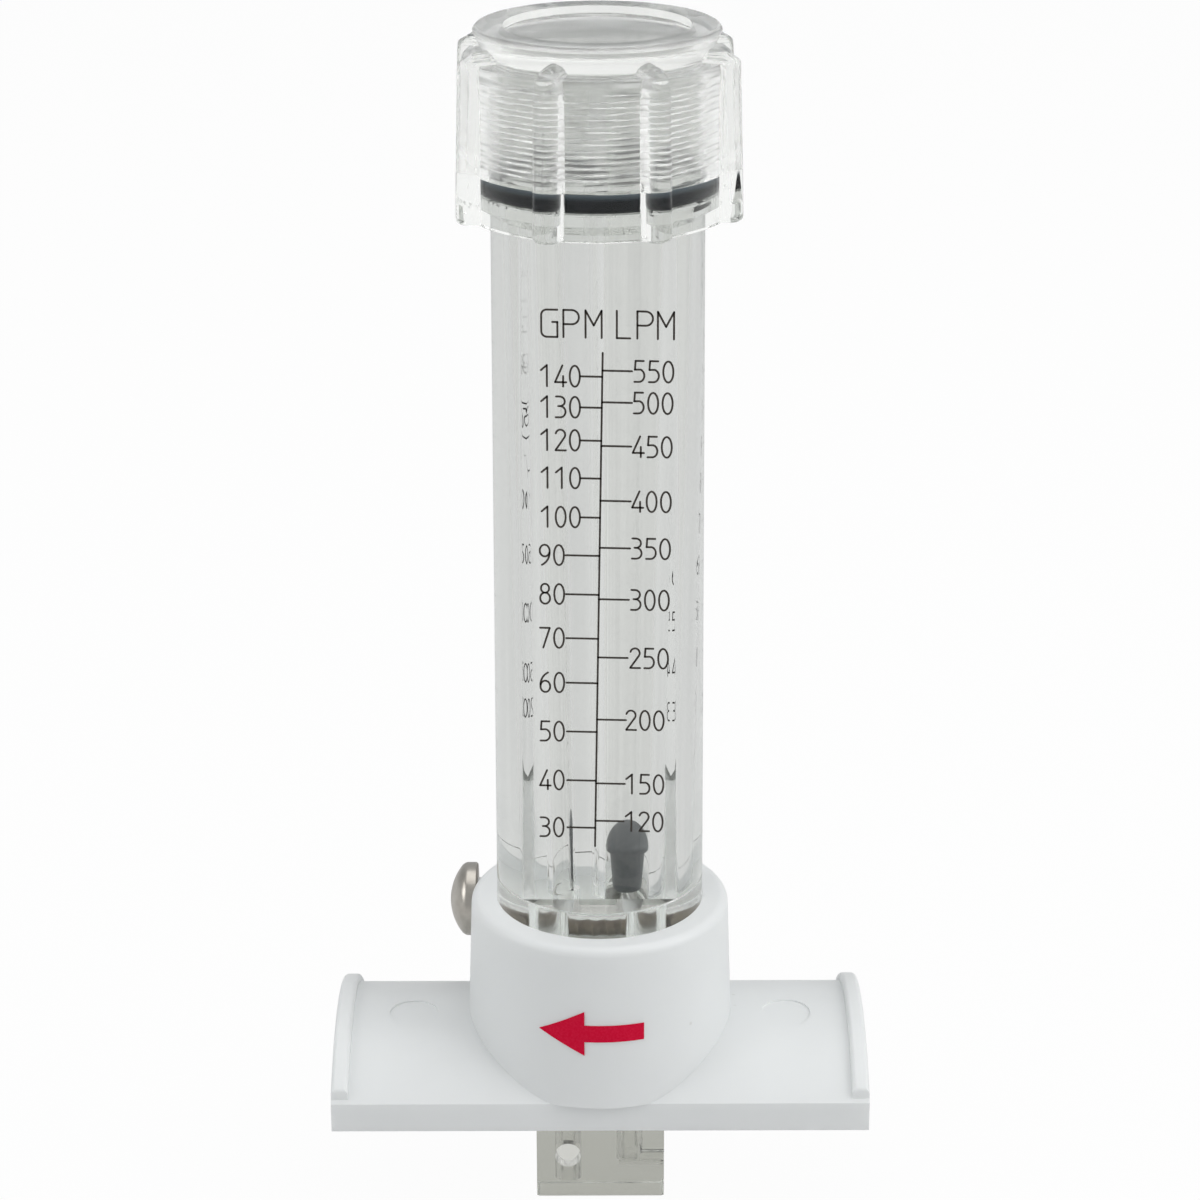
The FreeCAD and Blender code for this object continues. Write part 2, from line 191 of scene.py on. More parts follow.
def clear_plastic(name, tint, roughness, ripple_mm=0.0, streak=0.0, haze=0.0, gleam=1.0, worn=0.0):
    """Clear moulding that lets light through to what is inside it.

    It is rougher round the threads, and by worn where it sits in the socket. Ripple_mm is the
    height of its faint waves, streak how far its tint varies along the mould's flow, haze how
    milky it is round the threads, and gleam how much its outside reflects.
    """
    finish = new_finish(name)
    if ripple_mm:
        waves = finish.noise(70.0, 2.0, finish.stretched(1.0, 1.0, 0.2))
        finish.set(Normal=finish.bump(waves, ripple_mm))
    if streak:
        drawn = finish.noise(260.0, 2.0, finish.stretched(1.0, 1.0, 0.02)).band(0.3, 0.7)
        darker = tuple(c * (1.0 - streak) for c in tint[:3]) + (1.0,)
        lighter = tuple(c * (1.0 + streak) for c in tint[:3]) + (1.0,)
        tint = finish.blend(drawn, darker, lighter)
    height = finish.along("Z")
    threaded = height.band(THREAD_FROM_Z * MM, (THREAD_FROM_Z + 1.0) * MM)
    seated = 1.0 - height.band((BOSS_TOP_Z - 4.55) * MM, (BOSS_TOP_Z - 0.55) * MM)
    shell = finish.set(
        Base_Color=tint, IOR=1.49, Transmission_Weight=1.0,
        Specular_Tint=(gleam, gleam, gleam, 1.0),
        Roughness=roughness + 0.12 * threaded + worn * seated)
    if haze:
        milk = finish.node("BsdfTranslucent", {}, {"Color": (0.85, 0.86, 0.84, 1.0)})
        shell = finish.blended_shader(haze * threaded, shell, milk)
    open_way = finish.node("BsdfTransparent", {}, {"Color": WHITE})
    unseen = finish.ray("Is Shadow Ray").math("MAXIMUM", finish.ray("Is Diffuse Ray"))
    spent = finish.ray("Ray Depth").math("GREATER_THAN", DEEPEST - 3.5)
    return finish.end(finish.blended_shader(unseen.math("MAXIMUM", spent), shell, open_way))


def moulded_white():
    """White moulding with a few flecks. The inside of the socket glows with painted light, standing
    in for the light that the clear body leads in.
    """
    finish = new_finish("white_plastic")
    grain = finish.noise(1400.0, 3.0)
    cloud = finish.noise(45.0, 3.0)
    x = finish.along("X")
    y = finish.along("Y")
    # Painted light: this mask picks the socket's inside, which is made to glow.
    socket = 1.0 - (x * x + y * y).math("SQRT").band(19.0 * MM, 19.2 * MM)
    socket = socket * (1.0 - finish.along("Z").band(24.0 * MM, 28.3 * MM))
    plain = finish.blend(cloud.band(0.35, 0.7), (0.775, 0.79, 0.79, 1.0), (0.80, 0.815, 0.815, 1.0))
    cells = finish.node("TexVoronoi", {}, {"Scale": 160.0, "Vector": finish.place()})
    rare = finish.noise(60.0, 0.0).band(0.66, 0.70)
    fleck = (1.0 - cells.band(0.04, 0.09)) * rare * 0.35
    finish.set(
        Base_Color=finish.blend(fleck, plain, (0.42, 0.38, 0.33, 1.0)),
        Roughness=0.34 + 0.12 * cloud, IOR=1.46,
        Subsurface_Weight=0.3, Subsurface_Radius=(1.0, 1.0, 0.95), Subsurface_Scale=4.0 * MM,
        # The socket's glow colour is painted light, not a lamp.
        Emission_Color=finish.blend(socket, BLACK, (0.27, 0.28, 0.27, 1.0)),
        Emission_Strength=1.0,
        Normal=finish.bump(grain, 0.012, 0.5))
    return finish.owner


def grey_float():
    finish = new_finish("float_grey")
    grain = finish.noise(1100.0, 4.0)
    dark = (0.055, 0.062, 0.066, 1.0)
    light = (0.085, 0.093, 0.096, 1.0)
    colour = finish.blend(grain.band(0.3, 0.7), dark, light)
    finish.set(Base_Color=colour, Roughness=0.42 + 0.1 * grain, Normal=finish.bump(grain, 0.02))
    return finish.owner


def rubber(name, colour, roughness, shine=0.5, painted_highlight_from=None):
    """Rubber with a little dust on it. Above a given height in millimetres it is paler, as a
    painted highlight on its top.
    """
    finish = new_finish(name)
    grain = finish.noise(1800.0, 4.0)
    dust = finish.noise(120.0, 3.0).band(0.5, 0.75)
    lighter = tuple(2.2 * c + 0.01 for c in colour) + (1.0,)
    blended = finish.blend(dust * 0.5, colour + (1.0,), lighter)
    if painted_highlight_from:
        # Painted highlight: the top of the ring is paler and bluer, where light falls on it.
        painted_highlight = finish.along("Z").band(painted_highlight_from * MM, (painted_highlight_from + 0.9) * MM)
        blended = finish.blend(painted_highlight, blended, (0.07, 0.09, 0.105, 1.0))
    finish.set(
        Base_Color=blended, Roughness=roughness + 0.12 * dust, Specular_IOR_Level=shine,
        Normal=finish.bump(grain, 0.015))
    return finish.owner


def ink(name, colour, worn, roughness, shine):
    """Print whose colour varies a little towards worn."""
    finish = new_finish(name)
    cover = finish.noise(2600.0, 4.0).band(0.3, 0.62)
    finish.set(
        Base_Color=finish.blend(cover, worn, colour), Roughness=roughness + 0.1 * cover,
        Specular_IOR_Level=shine, Normal=finish.bump(cover, 0.01))
    return finish.owner


def turned_steel():
    """Steel turned along X, with the shank behind the head painted darker: painted shade where it
    lies inside the boss.
    """
    finish = new_finish("stainless")
    lines = finish.noise(500.0, 3.0, finish.stretched(6.0, 1.0, 1.0))
    cloud = finish.noise(220.0, 3.0)
    colour = finish.blend(cloud.band(0.3, 0.7), (0.40, 0.37, 0.33, 1.0), (0.60, 0.57, 0.52, 1.0))
    # Painted shade: the shank inside the boss gets a darker colour.
    shank_shade = finish.along("X").band((SCREW_SEAT_X - 0.2) * MM, SCREW_SEAT_X * MM)
    colour = finish.blend(shank_shade, colour, (0.20, 0.17, 0.13, 1.0))
    finish.set(
        Base_Color=colour, Metallic=1.0, Roughness=0.24 + 0.14 * lines,
        Normal=finish.bump(lines, 0.01))
    return finish.owner


clear_body = clear_plastic("clear_body", (0.64, 0.652, 0.638, 1.0), 0.0, streak=0.07)
clear_bore = clear_plastic("clear_bore", (0.97, 0.97, 0.96, 1.0), 0.0, worn=0.22)
clear_probe = clear_plastic("clear_probe", (0.42, 0.425, 0.386, 1.0), 0.06, 0.01)
clear_cap = clear_plastic("clear_cap", (0.92, 0.93, 0.915, 1.0), 0.02, 0.02, haze=0.12, gleam=0.3)
white = moulded_white()
grey = grey_float()
# The black seal is paler above 164.1 mm: a painted highlight on its top.
seal_black = rubber("black_rubber", (0.003, 0.004, 0.006), 0.33, 0.1, 164.1)
seal_grey = rubber("body_seal_rubber", (0.22, 0.22, 0.21), 0.4)
gasket_black = rubber("gasket_rubber", (0.016, 0.016, 0.017), 0.55)
red_ink = ink("red_print", (0.62, 0.003, 0.035, 1.0), (0.66, 0.012, 0.05, 1.0), 0.45, 0.05)
dark_ink = ink("dark_print", (0.032, 0.026, 0.021, 1.0), (0.07, 0.06, 0.05, 1.0), 0.5, 0.3)
steel = turned_steel()

for name, material in {
    "float": grey, "cap_seal": seal_black, "body_seal": seal_grey, "saddle": white,
    "saddle_gasket": gasket_black, "flow_arrow": red_ink, "meter_body": clear_body,
    "cap": clear_cap, "retaining_screw": steel, "scale_print": dark_ink,
}.items():
    nodes[name].data.materials.clear()
    nodes[name].data.materials.append(material)

# ---------------------------------------------------------------- mesh helpers


def new_object(name, points, faces, material):
    mesh = bpy.data.meshes.new(name)
    mesh.from_pydata([(x * MM, y * MM, z * MM) for x, y, z in points], [], faces)
    mesh.materials.append(material)
    made = bpy.data.objects.new(name, mesh)
    parts_shelf.objects.link(made)
    return made


def tidy_normals(thing, sharp_deg=32.0):
    work = bmesh.new()
    work.from_mesh(thing.data)
    bmesh.ops.recalc_face_normals(work, faces=work.faces)
    work.to_mesh(thing.data)
    work.free()
    thing.data.polygons.foreach_set("use_smooth", [True] * len(thing.data.polygons))
    thing.data.set_sharp_from_angle(angle=math.radians(sharp_deg))


def ringed(name, rings, material):
    """A closed solid through rings of equal length. A ring of one point is a pole."""
    points = []
    starts = []
    for ring in rings:
        starts.append((len(points), len(ring)))
        points.extend(ring)
    faces = []
    for (a, count_a), (b, count_b) in zip(starts, starts[1:]):
        count = max(count_a, count_b)
        for i in range(count):
            j = (i + 1) % count
            low = [a] if count_a == 1 else [a + i, a + j]
            high = [b] if count_b == 1 else [b + j, b + i]
            faces.append(low + high)
    for (start, count), flip in ((starts[0], True), (starts[-1], False)):
        if count > 1:
            face = [start + i for i in range(count)]
            faces.append(face[::-1] if flip else face)
    made = new_object(name, points, faces, material)
    tidy_normals(made)
    return made


def circle(radius, z, count=96, x=0.0, y=0.0):
    turn = 2 * math.pi / count
    return [(x + radius * math.cos(i * turn), y + radius * math.sin(i * turn), z)
            for i in range(count)]


def upright(name, radius, low, high, x, material, count=64):
    return ringed(name, [circle(radius, low, count, x), circle(radius, high, count, x)], material)


def block(name, low, high, material):
    corners = [(0, 0), (1, 0), (1, 1), (0, 1)]
    rings = [[((low[0], high[0])[i], (low[1], high[1])[j], z) for i, j in corners]
             for z in (low[2], high[2])]
    return ringed(name, rings, material)


def laid_along(name, radius, start, end, material, count=64):
    """A round bar from start to end, in any direction."""
    start = Vector(start)
    line = Vector(end) - start
    side = line.orthogonal().normalized()
    other = line.normalized().cross(side)
    turn = 2 * math.pi / count
    around = [side * math.cos(i * turn) + other * math.sin(i * turn) for i in range(count)]
    rings = [[tuple(start + line * t + radius * way) for way in around] for t in (0.0, 1.0)]
    return ringed(name, rings, material)


def carve(thing, tool, operation="DIFFERENCE"):
    """Cut the tool from the thing, or join it on. The new faces keep the tool's material."""
    cut = thing.modifiers.new("cut", "BOOLEAN")
    cut.operation = operation
    cut.solver = "EXACT"
    cut.material_mode = "TRANSFER"
    cut.object = tool
    graph = bpy.context.evaluated_depsgraph_get()
    result = bpy.data.meshes.new_from_object(thing.evaluated_get(graph))
    thing.modifiers.clear()
    old = thing.data
    thing.data = result
    bpy.data.meshes.remove(old)
    bpy.data.objects.remove(tool)


def fit(thing, body, replaced):
    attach(thing, body)
    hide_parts(replaced)


def smooth_step(value, low, high):
    """0 up to low, 1 from high, and a smooth climb between them."""
    share = min(1.0, max(0.0, (value - low) / (high - low)))
    return share * share * (3 - 2 * share)


def thread_share(angle, z, offset):
    """How far a thread stands out, from 0 in the groove to 1 on the crest."""
    phase = (z / THREAD_PITCH - angle / (2 * math.pi) + offset) % 1.0
    return 1.0 - smooth_step(abs(phase - 0.5), 0.15, 0.30)


# ---------------------------------------------------------------- meter body

ARC_STEPS = 200
FRONT_STEPS = 40
EDGE_CUT = 0.3
NECK_THREAD_DEPTH = 0.45

# Each bore's distance from the axis and its radius, at its floor and at the body's top
FLOAT_BORE = ((4.95, 6.4), (6.2, 7.9))
RETURN_BORE = ((-6.9, 2.55), (-9.0, 3.0))
CROSSOVER_HALF_Y = 3.0
CROSSOVER_DEPTH = 9.0
INLET_X = 5.5
OUTLET_X = -6.1
PASSAGE_R = 2.5
IMPACT_PORT_R = 1.6
IMPACT_PORT_RISE = 7.0
SIDE_PORT_R = 2.45
SIDE_PORT_RISE = 9.1
OUTLET_FLOOR_DROP = 6.3
SCREW_GROOVE_R = 2.8
SCREW_GROOVE_HALF_X = 19.5


def body_section(radius, z, flat):
    """One ring of the rod: the round back first, then the front, round or flat."""
    edge = math.sqrt(radius ** 2 - FLAT_Y ** 2)
    half = math.asin(edge / radius) + EDGE_CUT / radius
    start = -math.pi / 2 + half
    sweep = 2 * math.pi - 2 * half
    points = [(radius * math.cos(start + sweep * i / ARC_STEPS),
               radius * math.sin(start + sweep * i / ARC_STEPS), z) for i in range(ARC_STEPS + 1)]
    for i in range(1, FRONT_STEPS):
        if flat:
            share = (i - 1) / (FRONT_STEPS - 2)
            points.append(((edge - EDGE_CUT) * (2 * share - 1), FLAT_Y, z))
        else:
            angle = -math.pi / 2 - half + 2 * half * i / FRONT_STEPS
            points.append((radius * math.cos(angle), radius * math.sin(angle), z))
    return points


def neck_ring(z, depth, crest):
    """One ring of the neck, with its thread's depth and the crest's share of that depth."""
    ring = []
    for x, y, z in body_section(NECK_R, z, False):
        share = crest * thread_share(math.atan2(y, x), z, 0.0)
        radius = NECK_R - depth + depth * share
        ring.append((radius * x / NECK_R, radius * y / NECK_R, z))
    return ring


def body_radius(z):
    """The rod draws in a little from the boss to the flange."""
    share = (z - BOSS_TOP_Z) / (FLANGE_LOW_Z - BOSS_TOP_Z)
    return BODY_LOW_R + (BODY_HIGH_R - BODY_LOW_R) * share


def body_rings():
    rings = [body_section(BODY_LOW_R - 0.6, BODY_SHOULDER_Z, False),
             body_section(BODY_LOW_R, BODY_SHOULDER_Z + 0.6, False),
             body_section(BODY_LOW_R, BOSS_TOP_Z, False),
             body_section(body_radius(LEDGE_Z - 0.25), LEDGE_Z - 0.25, False),
             body_section(body_radius(LEDGE_Z) - 0.2, LEDGE_Z, False)]
    steps = 26
    for i in range(steps + 1):
        z = LEDGE_Z + (FLANGE_LOW_Z - LEDGE_Z) * i / steps
        rings.append(body_section(body_radius(z), z, True))
    rings += [body_section(BODY_HIGH_R, FLANGE_LOW_Z, False),
              body_section(FLANGE_R, FLANGE_LOW_Z + 2.2, False),
              body_section(FLANGE_R, FLANGE_HIGH_Z - 0.25, False),
              body_section(FLANGE_R - 0.25, FLANGE_HIGH_Z, False),
              body_section(NECK_R, FLANGE_HIGH_Z, False)]
    first = FLANGE_HIGH_Z + 3.4
    last = BODY_TOP_Z - 0.6
    count = int((last - first) / RING_STEP)
    for i in range(count + 1):
        z = first + (last - first) * i / count
        depth = NECK_THREAD_DEPTH * smooth_step(z, first, first + 1.5)
        crest = 1 - smooth_step(z, last - 1.0, last)
        rings.append(neck_ring(z, depth, crest))
    rings.append(body_section(NECK_R - 0.5, BODY_TOP_Z, False))
    return rings


def leaning_hollow(name, bore):
    """A tapered bore from the common floor to above the body's top."""
    (low_x, low_r), (high_x, high_r) = bore
    top = BODY_TOP_Z + 1.0
    steps = 12
    rings = []
    for i in range(steps + 1):
        t = i / steps
        z = BORE_FLOOR_Z + (top - BORE_FLOOR_Z) * t
        rings.append(circle(low_r + (high_r - low_r) * t, z, 120, low_x + (high_x - low_x) * t))
    return ringed(name, rings, clear_bore)


def make_probe():
    tip = PROBE_TIP_Z
    bevel = 0.5
    corners = [(-1, -1), (1, -1), (1, 1), (-1, 1)]
    rings = []
    for half_x, half_y, z in (
            (PROBE_HALF_X - bevel, PROBE_HALF_Y - bevel, tip),
            (PROBE_HALF_X, PROBE_HALF_Y, tip + bevel),
            (PROBE_HALF_X, PROBE_HALF_Y, BODY_SHOULDER_Z + 2.0)):
        rings.append([(i * half_x, j * half_y, z) for i, j in corners])
    return ringed("probe", rings, clear_body)


def body_hollows():
    port_z = PROBE_TIP_Z + IMPACT_PORT_RISE
    side_z = PROBE_TIP_Z + SIDE_PORT_RISE
    passage_top = BORE_FLOOR_Z + 0.8
    return [
        leaning_hollow("float_bore", FLOAT_BORE),
        leaning_hollow("return_bore", RETURN_BORE),
        upright("inlet_passage", PASSAGE_R, port_z, passage_top, INLET_X, clear_bore),
        upright("outlet_passage", PASSAGE_R, side_z - OUTLET_FLOOR_DROP, passage_top, OUTLET_X,
                clear_bore),
        laid_along("impact_port", IMPACT_PORT_R, (INLET_X - 2.0, 0, port_z),
                   (PROBE_HALF_X + 1, 0, port_z), clear_bore),
        laid_along("side_port", SIDE_PORT_R, (OUTLET_X, -PROBE_HALF_Y - 1, side_z),
                   (OUTLET_X, 0, side_z), clear_bore),
        laid_along("screw_groove", SCREW_GROOVE_R, (-SCREW_GROOVE_HALF_X, SCREW_Y, SCREW_Z),
                   (SCREW_GROOVE_HALF_X, SCREW_Y, SCREW_Z), clear_bore),
        block("crossover", (RETURN_BORE[1][0], -CROSSOVER_HALF_Y, BODY_TOP_Z - CROSSOVER_DEPTH),
              (FLOAT_BORE[1][0], CROSSOVER_HALF_Y, BODY_TOP_Z + 1), clear_bore),
    ]


def make_body():
    body = ringed("clear_meter_body", body_rings(), clear_body)
    carve(body, make_probe(), "UNION")
    for hollow in body_hollows():
        carve(body, hollow)
    tidy_normals(body, 28.0)
    # The probe's outside has its own finish, and what sits in the boss has the bores' finish
    inside = body.data.materials.find("clear_bore")
    below = len(body.data.materials)
    body.data.materials.append(clear_probe)
    for face in body.data.polygons:
        if face.center.z < BODY_SHOULDER_Z * MM and face.material_index != inside:
            face.material_index = below
        elif face.center.z < (BOSS_TOP_Z + 0.2) * MM:
            face.material_index = inside
    fit(body, "meter", "meter_body")


# ---------------------------------------------------------------- cap

RIB_COUNT = 8
RIB_HALF_W = 2.6
RIB_FIRST = math.radians(24.5)
RIB_LOW_R = 23.3
RIB_HIGH_R = 22.5
RIB_TOP_RISE = 0.4
RIB_TOP_SLOPE = 0.6
RIB_EDGE = 0.6
RIB_BEND_Z = 182.3
RIB_TIP_Z = 186.1
DISC_LOW_R = 18.85
DISC_HIGH_R = 20.75
DISC_BEND_Z = 187.75
DISC_EDGE_R = 1.2
RECESS_R = 15.7
CAP_THREAD_DEPTH = 0.40


def cap_angles():
    """Angles round the cap, closer together across each rib."""
    across = [math.asin(0.112 * math.sin(math.radians(a))) for a in range(-90, 91, 10)]
    step = 2 * math.pi / RIB_COUNT
    edge = across[-1] + math.radians(0.5)
    wall = [edge + (step - 2 * edge) * i / 22 for i in range(23)]
    return [RIB_FIRST + k * step + a for k in range(RIB_COUNT) for a in across + wall]


def soft_max(first, second, width):
    """The larger of two sizes, blended where they are within width of each other."""
    share = max(0.0, width - abs(first - second)) / width
    return max(first, second) + share * share * width * 0.25


def rib_radius(z, offset):
    """The rib's outside at an angle from its middle. Its tip slants in and narrows to a point."""
    share = (z - CAP_LOW_Z) / (CAP_SHOULDER_Z - CAP_LOW_Z)
    centre = RIB_LOW_R + (RIB_HIGH_R - RIB_LOW_R) * share
    half = RIB_HALF_W
    foot = z - CAP_LOW_Z
    if foot < 1.0:
        half = RIB_HALF_W - 1.0 + math.sqrt(max(0.0, 1.0 - (1.0 - foot) ** 2))
    depth = half
    if z > RIB_BEND_Z:
        rise = (z - RIB_BEND_Z) / (RIB_TIP_Z - RIB_BEND_Z)
        half = RIB_HALF_W * math.sqrt(max(0.0, 1.0 - rise ** 1.6))
        slant = (CAP_SHOULDER_Z + RIB_TOP_RISE - z) / RIB_TOP_SLOPE
        depth = -soft_max(-RIB_HALF_W, -RIB_HALF_W - slant, RIB_EDGE)
    aside = centre * math.sin(offset)
    if abs(aside) >= half or depth <= 0.0:
        return 0.0
    return centre * math.cos(offset) + depth * math.sqrt(1.0 - (aside / half) ** 2)


def cap_outer_ring(z, wall_r, angles):
    """One ring of the cap's outside: its round wall with the ribs on it."""
    step = 2 * math.pi / RIB_COUNT
    ring = []
    for angle in angles:
        offset = (angle - RIB_FIRST + step / 2) % step - step / 2
        radius = soft_max(wall_r, rib_radius(z, offset), 0.35)
        ring.append((radius * math.cos(angle), radius * math.sin(angle), z))
    return ring


def plain_ring(radius, z, angles):
    return [(radius * math.cos(a), radius * math.sin(a), z) for a in angles]


def cap_thread_ring(z, depth, angles):
    ring = []
    for angle in angles:
        radius = THREAD_LAND_R - depth * thread_share(angle, z, 0.5)
        ring.append((radius * math.cos(angle), radius * math.sin(angle), z))
    return ring


def cap_inside_rings(angles):
    """From the middle of the ceiling down the threaded bore and the skirt."""
    chamfer = 1.5
    rings = [[(0, 0, CAP_CEILING_Z)],
             plain_ring(THREAD_LAND_R - chamfer, CAP_CEILING_Z, angles),
             plain_ring(THREAD_LAND_R, CAP_CEILING_Z - chamfer, angles)]
    first = CAP_LAND_Z + 0.8
    last = CAP_CEILING_Z - 1.8
    count = int((last - first) / RING_STEP)
    for i in range(count, -1, -1):
        z = first + (last - first) * i / count
        fade = smooth_step(z, first, first + 1.0) * (1 - smooth_step(z, last - 1.5, last))
        rings.append(cap_thread_ring(z, CAP_THREAD_DEPTH * fade, angles))
    return rings + [
        plain_ring(THREAD_LAND_R, CAP_LAND_Z, angles),
        plain_ring(CAP_SKIRT_R, CAP_LAND_Z, angles),
        plain_ring(CAP_SKIRT_R, CAP_LOW_Z + 0.2, angles),
        plain_ring(CAP_SKIRT_R + 0.2, CAP_LOW_Z, angles)]


def cap_wall_rings(angles):
    """Up the ribbed wall to the rounded shoulder."""
    low = CAP_LOW_Z + 1.0
    top = CAP_SHOULDER_Z - 1.0
    heights = [CAP_LOW_Z + rise for rise in (0.0, 0.1, 0.25, 0.5, 1.0)]
    heights += [low + (top - low) * i / 16 for i in range(1, 17)]
    heights += [top + math.sin(math.radians(a)) for a in range(15, 91, 15)]
    rings = []
    for z in heights:
        edge = max(0.0, z - top)
        wall = CAP_WALL_R - (1.0 - math.sqrt(max(0.0, 1.0 - edge ** 2))) * 0.6
        rings.append(cap_outer_ring(z, wall, angles))
    return rings


def cap_disc_rings(angles):
    """Up the flared side of the top disc, round its edge and down into its shallow recess."""
    low = CAP_SHOULDER_Z + 0.03
    steps = 19
    rings = []
    for i in range(steps + 1):
        z = low + (DISC_BEND_Z - low) * i / steps
        fillet = 0.5 * max(0.0, 1.0 - (z - CAP_SHOULDER_Z) / 0.5) ** 2
        wall = DISC_LOW_R + (DISC_HIGH_R - DISC_LOW_R) * i / steps + fillet
        rings.append(cap_outer_ring(z, wall, angles))
    edge_r = DISC_HIGH_R - 1.05
    profile = [(edge_r + DISC_EDGE_R * math.cos(math.radians(a)),
                DISC_BEND_Z + DISC_EDGE_R * math.sin(math.radians(a))) for a in range(20, 91, 14)]
    profile += [(RECESS_R + 0.25, CAP_TOP_Z), (RECESS_R + 0.08, CAP_TOP_Z - 0.07),
                (RECESS_R, CAP_TOP_Z - 0.25), (RECESS_R, CAP_TOP_Z - 1.05),
                (RECESS_R - 0.1, CAP_TOP_Z - 1.3), (RECESS_R - 0.35, CAP_TOP_Z - 1.4)]
    rings += [plain_ring(r, z, angles) for r, z in profile]
    rings.append([(0, 0, CAP_TOP_Z - 1.4)])
    return rings


def make_cap():
    angles = cap_angles()
    rings = cap_inside_rings(angles) + cap_wall_rings(angles) + cap_disc_rings(angles)
    fit(ringed("clear_ribbed_cap", rings, clear_cap), "cap", "cap")


# ---------------------------------------------------------------- scale print

LINE_W = 0.35
PRINT_T = 0.05
SLOPE = -0.026
DIGIT_H = 3.7
DIGIT_STEP = 2.45
LETTER_H = 4.75


def bend(x, y, rx, ry, start, end, steps=10):
    """Points on an ellipse, from one angle to another."""
    turn = math.radians(end - start) / steps
    first = math.radians(start)
    return [(x + rx * math.cos(first + i * turn), y + ry * math.sin(first + i * turn))
            for i in range(steps + 1)]


# Single-stroke figures, one unit high, drawn from the lower left
FIGURES = {
    "0": [bend(0.24, 0.5, 0.23, 0.5, 0, 360, 28)],
    "1": [[(0.02, 0.76), (0.29, 1.0)], [(0.29, 1.0), (0.29, 0.0)]],
    "2": [bend(0.24, 0.76, 0.22, 0.24, 165, -38, 12) + [(0.02, 0.02)], [(0.02, 0.0), (0.48, 0.0)]],
    "3": [[(0.04, 1.0)] + bend(0.22, 0.77, 0.22, 0.23, 90, -80, 8),
          [(0.14, 0.54)] + bend(0.22, 0.27, 0.25, 0.27, 85, -90, 10) + [(0.02, 0.0)]],
    "4": [[(0.34, 1.0), (0.0, 0.2)], [(0.0, 0.2), (0.51, 0.2)], [(0.37, 0.49), (0.37, 0.0)]],
    "5": [[(0.44, 1.0), (0.07, 1.0)], [(0.07, 1.0), (0.04, 0.58)],
          [(0.04, 0.58)] + bend(0.22, 0.3, 0.25, 0.3, 75, -90, 12) + [(0.02, 0.0)]],
    "6": [bend(0.24, 0.29, 0.23, 0.29, 0, 360, 22), bend(0.62, 0.36, 0.61, 0.7, 114, 178, 9)],
    "7": [[(0.02, 1.0), (0.47, 1.0)], [(0.47, 1.0), (0.16, 0.0)]],
    "8": [bend(0.24, 0.28, 0.23, 0.28, 0, 360, 22), bend(0.24, 0.775, 0.19, 0.225, 0, 360, 20)],
    "9": [bend(0.24, 0.71, 0.23, 0.29, 0, 360, 22), bend(-0.14, 0.64, 0.61, 0.7, -66, -2, 9)],
    "G": [[(0.57, 1.0)] + bend(0.2, 0.8, 0.2, 0.2, 90, 180, 7)
          + bend(0.2, 0.2, 0.2, 0.2, 180, 270, 7) + [(0.57, 0.0)],
          [(0.57, 0.0), (0.57, 0.55)], [(0.57, 0.55), (0.39, 0.55)]],
    "P": [[(0.0, 0.0), (0.0, 1.0)],
          [(0.0, 1.0)] + bend(0.3, 0.74, 0.25, 0.26, 90, -90, 12) + [(0.0, 0.48)]],
    "M": [[(0.0, 0.0), (0.0, 1.0)], [(0.0, 1.0), (0.29, 0.45)], [(0.29, 0.45), (0.57, 1.0)],
          [(0.57, 1.0), (0.57, 0.0)]],
    "L": [[(0.0, 1.0), (0.0, 0.0)], [(0.0, 0.0), (0.47, 0.0)]],
}

# Value, height above the boss, tip of its line and left edge of its figures
GALLONS = [
    ("140", 103.0, -3.1, -9.75), ("130", 97.5, -3.1, -9.75), ("120", 91.6, -3.1, -9.8),
    ("110", 84.8, -3.1, -9.8), ("100", 77.7, -3.1, -9.85), ("90", 70.7, -5.7, -10.2),
    ("80", 63.5, -5.7, -10.2), ("70", 55.3, -5.7, -10.3), ("60", 46.9, -5.7, -10.3),
    ("50", 37.6, -5.7, -10.4), ("40", 28.2, -5.7, -10.5), ("30", 19.0, -5.7, -10.6),
]
LITRES = [
    ("550", 104.1, 5.7, 6.05), ("500", 98.5, 5.7, 5.95), ("450", 90.7, 5.6, 5.85),
    ("400", 80.8, 5.5, 5.75), ("350", 72.2, 5.4, 5.65), ("300", 62.7, 5.2, 5.5),
    ("250", 51.8, 5.0, 5.4), ("200", 40.0, 4.7, 4.7), ("150", 27.7, 4.5, 4.7),
    ("120", 20.4, 4.3, 4.6),
]
# Text, left edge, height above the boss and step from letter to letter
HEADINGS = [("GPM", -9.55, 110.1, 3.72), ("LPM", 3.15, 109.8, 3.45)]
# The ends of the long line, as x and height above the boss
LINE_LOW = (-0.80, 15.4)
LINE_HIGH = (0.76, 107.2)


